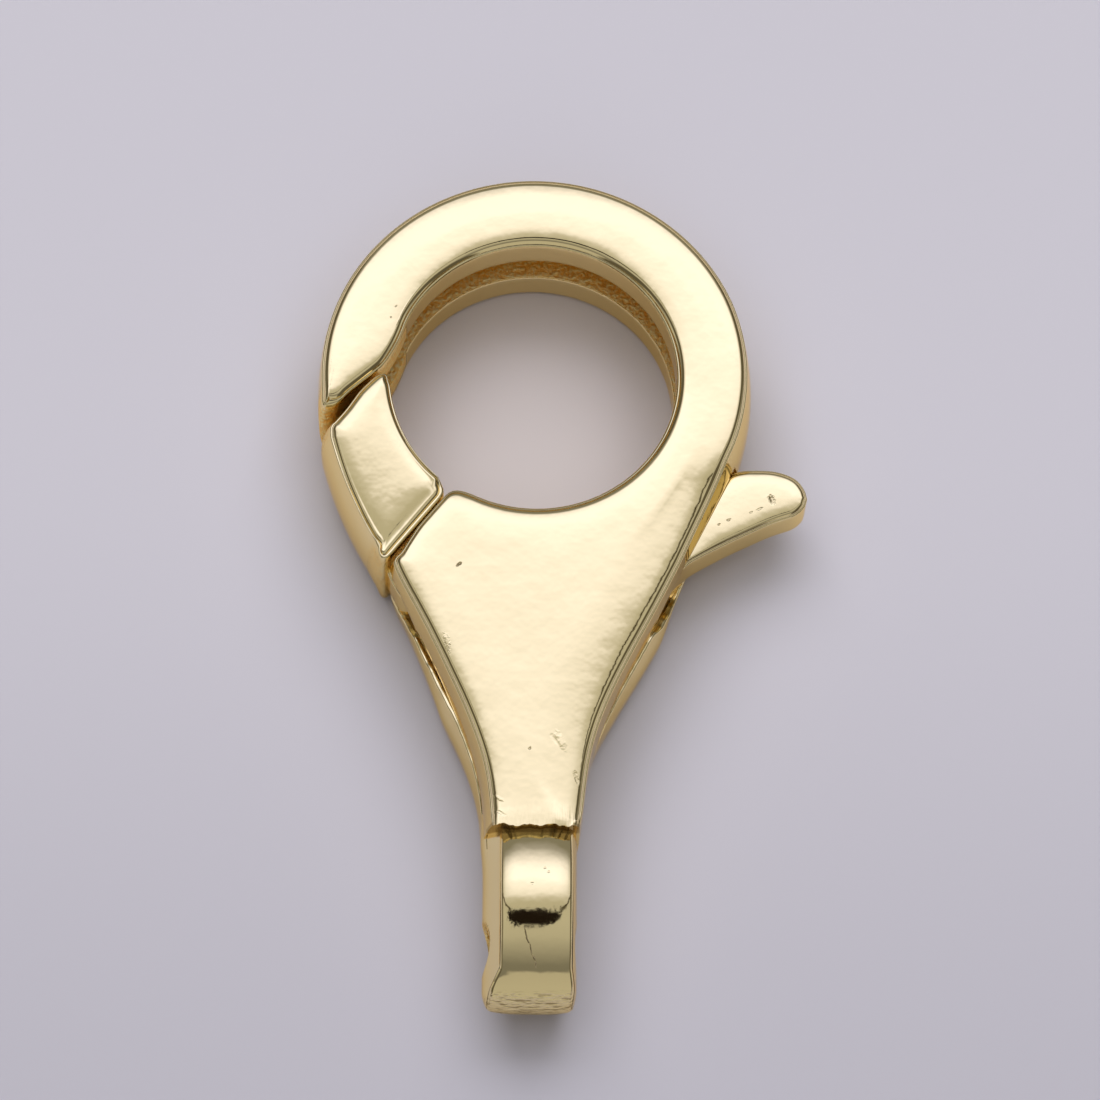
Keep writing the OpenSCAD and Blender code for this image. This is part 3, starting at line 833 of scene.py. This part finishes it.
# Camera: height over the floor's plane, turn aside and roll in degrees, the point that it looks at and its
# distance in millimetres, and a sensor and lens with a focal length of 6169.4 pixels in a frame of 1100.
CAMERA_HIGH, CAMERA_ASIDE, CAMERA_ROLL = 69.05, 3.5, 4.02
CAMERA_TARGET, CAMERA_FAR = Vector((0.586, 14.985, 0)), 220.0
SENSOR, LENS = 36, 6169.4 / 1100 * 36

FLOOR_HALF, FLOOR_GAP = 0.6, 2e-5
LAMP_FAR, LAMP_WIDE, LAMP_DEEP = 0.6, 0.65, 0.4
# Lamps: name, share of the power, place to the side, angle north of the zenith
LAMPS = (("window", 0.72, 0.0, 38), ("top", 0.26, 0.0, 2), ("front fill", 0.14, 0.0, -40),
         ("left fill", 0.14, -1.0, 10), ("right fill", 0.12, 1.0, 10))


def studio_world(s):
    """The studio as a dome of light. The brightness follows the angle from the zenith towards the north,
    where a wide soft window hangs; a dark bar with an uneven edge and the dark of the camera lie south
    of it, and dark bands and thin edge lines to both sides. Matt surfaces get a third of this light, and
    the camera sees a plain pale colour."""
    world = bpy.data.worlds.new("studio")
    world.use_nodes = True
    n = Nodes(world.node_tree)
    sky = n.add("ShaderNodeTexCoord").outputs["Generated"]
    x, y, z = n.add("ShaderNodeSeparateXYZ", Vector=sky).outputs
    north = n.times(n.math("ARCTAN2", y, z), 180 / np.pi)
    east = n.times(n.math("ARCSINE", x), 180 / np.pi)
    wild = n.times(n.math("SUBTRACT", n.noise(sky, 28, 3, 0.7), 0.5), 16)
    above = n.span(north, -90, 90)
    room = n.ramp(above, [
        (-90, 0.52, "warm"), (-51, 0.47, "warm"), (-48, 0.20, "plain"), (-41, 0.21, "plain"),
        (-14, 0.48, "plain"), (0, 0.52, "plain"), (26, 0.50, "plain"), (44, 0.24, "plain"),
        (90, 0.20, "plain")])
    ragged, ragged_east = n.math("ADD", north, wild), n.math("ADD", east, wild)
    aside = n.math("ABSOLUTE", east)
    flank = n.times(n.span(aside, 30, 38), n.span(aside, 68, 58))
    room = n.mix("MIX", room, (0.11, 0.10, 0.08, 1), flank)
    off = n.math("ADD", ragged_east, 2.5)
    below = n.math("SUBTRACT", ragged, n.times(off, off, 0.03))
    bar = n.times(n.span(below, -7.6, -7.0), n.span(ragged, 6.4, 5.8),
                  n.span(off, -17, -16), n.span(off, 17, 16))
    edge = n.math("SUBTRACT", aside, n.times(n.math("SUBTRACT", north, 7.7), 1.5))
    edge = n.times(n.span(edge, 14, 15.5), n.span(edge, 19, 17.5), n.span(north, 5, 7), n.span(north, 26, 20))
    glow = n.ramp(above, [
        (11, 0.0, "cool"), (14.5, 0.16, "cool"), (17, 0.54, "cool"), (21, 0.76, "cool"), (25, 0.98, "cool"),
        (30, 0.97, "cool"), (36, 0.60, "cool"), (43, 0.2, "cool"), (50, 0.0, "cool")])
    glow = n.mix("MULTIPLY", glow, n.span(aside, 40, 7))
    light = n.mix("ADD", room, n.mix("MULTIPLY", glow, (s.window, s.window, s.window, 1)))
    light = n.mix("MIX", light, (0.012, 0.008, 0.006, 1), bar)
    light = n.mix("MIX", light, (0.05, 0.04, 0.02, 1), edge)
    soft = n.mix("MULTIPLY", light, (0.34, 0.34, 0.34, 1))
    path = n.add("ShaderNodeLightPath")
    light = n.mix("MIX", light, soft, path.outputs["Is Diffuse Ray"])
    light = n.mix("MIX", light, (0.60, 0.58, 0.64, 1), path.outputs["Is Camera Ray"])
    n.set(world.node_tree.nodes["Background"].inputs["Color"], light)
    return world


# ---- properties, operators, panel

def length(name, description, value, **limits):
    """A property for a length, its value in millimetres."""
    return FloatProperty(name=name, description=description, default=value * MM, subtype="DISTANCE",
                         unit="LENGTH", precision=5, **limits)


class ClaspSizes(PropertyGroup):
    """Sizes and colour of the clasp"""
    hole_d: length("Hole", "Diameter of the ring's hole", 10.1, min=9.6 * MM, max=10.5 * MM)
    groove_h: length("Groove height", "Height of the groove in the hole's wall", 1.5)
    groove_depth: length("Groove depth", "Depth of the groove from the hole's wall", 1.2)
    neck_w: length("Neck", "Width of the neck above the eye", NECK_W)
    lip: length("Hole's lip", "Rounding of the hole's lip", 0.26)
    swell: length("Swell", "How far the side wall swells at mid thickness", 0.15)
    bore_d: length("Eye bore", "Diameter of the bore for a jump ring", 1.9)
    eye_t: length("Eye thickness", "Thickness of the eye", 4.56)
    gold: FloatVectorProperty(name="Gold", description="Colour of the polished metal", subtype="COLOR",
                              size=3, default=(0.92, 0.765, 0.42))


class ClaspStage(PropertyGroup):
    """Floor and lights"""
    floor: FloatVectorProperty(name="Floor", description="Colour of the floor", subtype="COLOR", size=3,
                               default=(0.675, 0.66, 0.715))
    window: FloatProperty(name="Window", description="Brightness of the window that the metal mirrors",
                          default=0.85, min=0, max=5)
    lamp: FloatProperty(name="Lamp", description="Power of the soft lamp in the window", default=2.85, min=0,
                        subtype="POWER", unit="POWER")


class CLASP_OT_body(Operator):
    """Builds the cast body: both plates with the ring, and the eye"""
    bl_idname = "clasp.body"
    bl_label = "Body"

    def execute(self, context):
        s = context.scene.clasp_sizes
        parts = plate(s, "front"), mirrored(*plate(s, "back")), eye(s)
        piece = link("clasp_body", *joined(parts), gold_material(s), "body", ["body"])
        return {"FINISHED"}


class CLASP_OT_lever(Operator):
    """Builds the lever: the gate, the arm in the slot and the thumb tab"""
    bl_idname = "clasp.lever"
    bl_label = "Lever"

    def execute(self, context):
        s = context.scene.clasp_sizes
        piece = link("clasp_lever", *joined([gate(s), arm(s)]), gold_material(s), "lever", ["lever"])
        return {"FINISHED"}


class CLASP_OT_pin(Operator):
    """Gives the hidden pivot pin its drawn steel finish"""
    bl_idname = "clasp.pin"
    bl_label = "Pivot pin"

    def execute(self, context):
        node = frame["nodes"]["pivot_pin"]
        node.data.materials.clear()
        node.data.materials.append(steel_material())
        return {"FINISHED"}


class CLASP_OT_stage(Operator):
    """Sets the pale floor, the studio light and the camera at the photograph's angle"""
    bl_idname = "clasp.stage"
    bl_label = "Stage"

    def execute(self, context):
        scene = context.scene
        s = scene.clasp_stage
        mesh = bpy.data.meshes.new("floor")
        r, z = FLOOR_HALF, BODY_LOW[2] * MM - FLOOR_GAP
        mesh.from_pydata([(-r, -r, z), (r, -r, z), (r, r, z), (-r, r, z)], [], [(0, 1, 2, 3)])
        floor = bpy.data.objects.new("floor", mesh)
        scene.collection.objects.link(floor)
        mesh.materials.append(floor_material(s, z))

        camera = bpy.data.cameras.new("camera")
        camera.sensor_width, camera.lens = SENSOR, LENS
        camera.clip_start, camera.clip_end = 0.01, 10
        seat = bpy.data.objects.new("camera", camera)
        scene.collection.objects.link(seat)
        high, aside, roll = np.radians([CAMERA_HIGH, CAMERA_ASIDE, CAMERA_ROLL])
        back = Vector((-np.sin(aside) * np.cos(high), -np.cos(aside) * np.cos(high), np.sin(high)))
        right = (-back).cross(Vector((0, 0, 1))).normalized()
        up = right.cross(-back)
        turned = right * np.cos(roll) + up * np.sin(roll), -right * np.sin(roll) + up * np.cos(roll)
        place = Matrix.Translation((CAMERA_TARGET + back * CAMERA_FAR) * MM)
        seat.matrix_world = place @ Matrix((*turned, back)).transposed().to_4x4()
        scene.camera = seat

        scene.world = studio_world(s)
        for name, share, side, tilt in LAMPS:
            light = bpy.data.lights.new(name, "AREA")
            light.shape, light.size, light.size_y = "RECTANGLE", LAMP_WIDE, LAMP_DEEP
            light.energy, light.color = s.lamp * share, (1.0, 0.975, 1.0)
            lamp = bpy.data.objects.new(name, light)
            lamp.visible_glossy = False
            scene.collection.objects.link(lamp)
            tilt = np.radians(tilt)
            where = Vector((side * 0.5, np.sin(tilt), np.cos(tilt))) * LAMP_FAR
            lamp.location = where
            lamp.rotation_euler = where.to_track_quat("Z", "Y").to_euler()
        scene.view_settings.view_transform = "Standard"
        return {"FINISHED"}


class CLASP_PT_panel(Panel):
    bl_idname = "CLASP_PT_panel"
    bl_label = "Lobster clasp"
    bl_space_type = "VIEW_3D"
    bl_region_type = "UI"
    bl_category = "Clasp"

    def draw(self, context):
        column = self.layout.column()
        for group in (context.scene.clasp_sizes, context.scene.clasp_stage):
            for name in group.__annotations__:
                column.prop(group, name)
        for kind in OPERATORS:
            column.operator(kind.bl_idname)


OPERATORS = (CLASP_OT_body, CLASP_OT_lever, CLASP_OT_pin, CLASP_OT_stage)
CLASSES = (ClaspSizes, ClaspStage) + OPERATORS + (CLASP_PT_panel,)


def register():
    for kind in CLASSES:
        bpy.utils.register_class(kind)
    bpy.types.Scene.clasp_sizes = PointerProperty(type=ClaspSizes)
    bpy.types.Scene.clasp_stage = PointerProperty(type=ClaspStage)


def unregister():
    del bpy.types.Scene.clasp_stage
    del bpy.types.Scene.clasp_sizes
    for kind in reversed(CLASSES):
        bpy.utils.unregister_class(kind)


def main():
    register()
    bpy.ops.clasp.body()
    bpy.ops.clasp.lever()
    bpy.ops.clasp.pin()
    bpy.ops.clasp.stage()


if __name__ == "__main__":
    main()
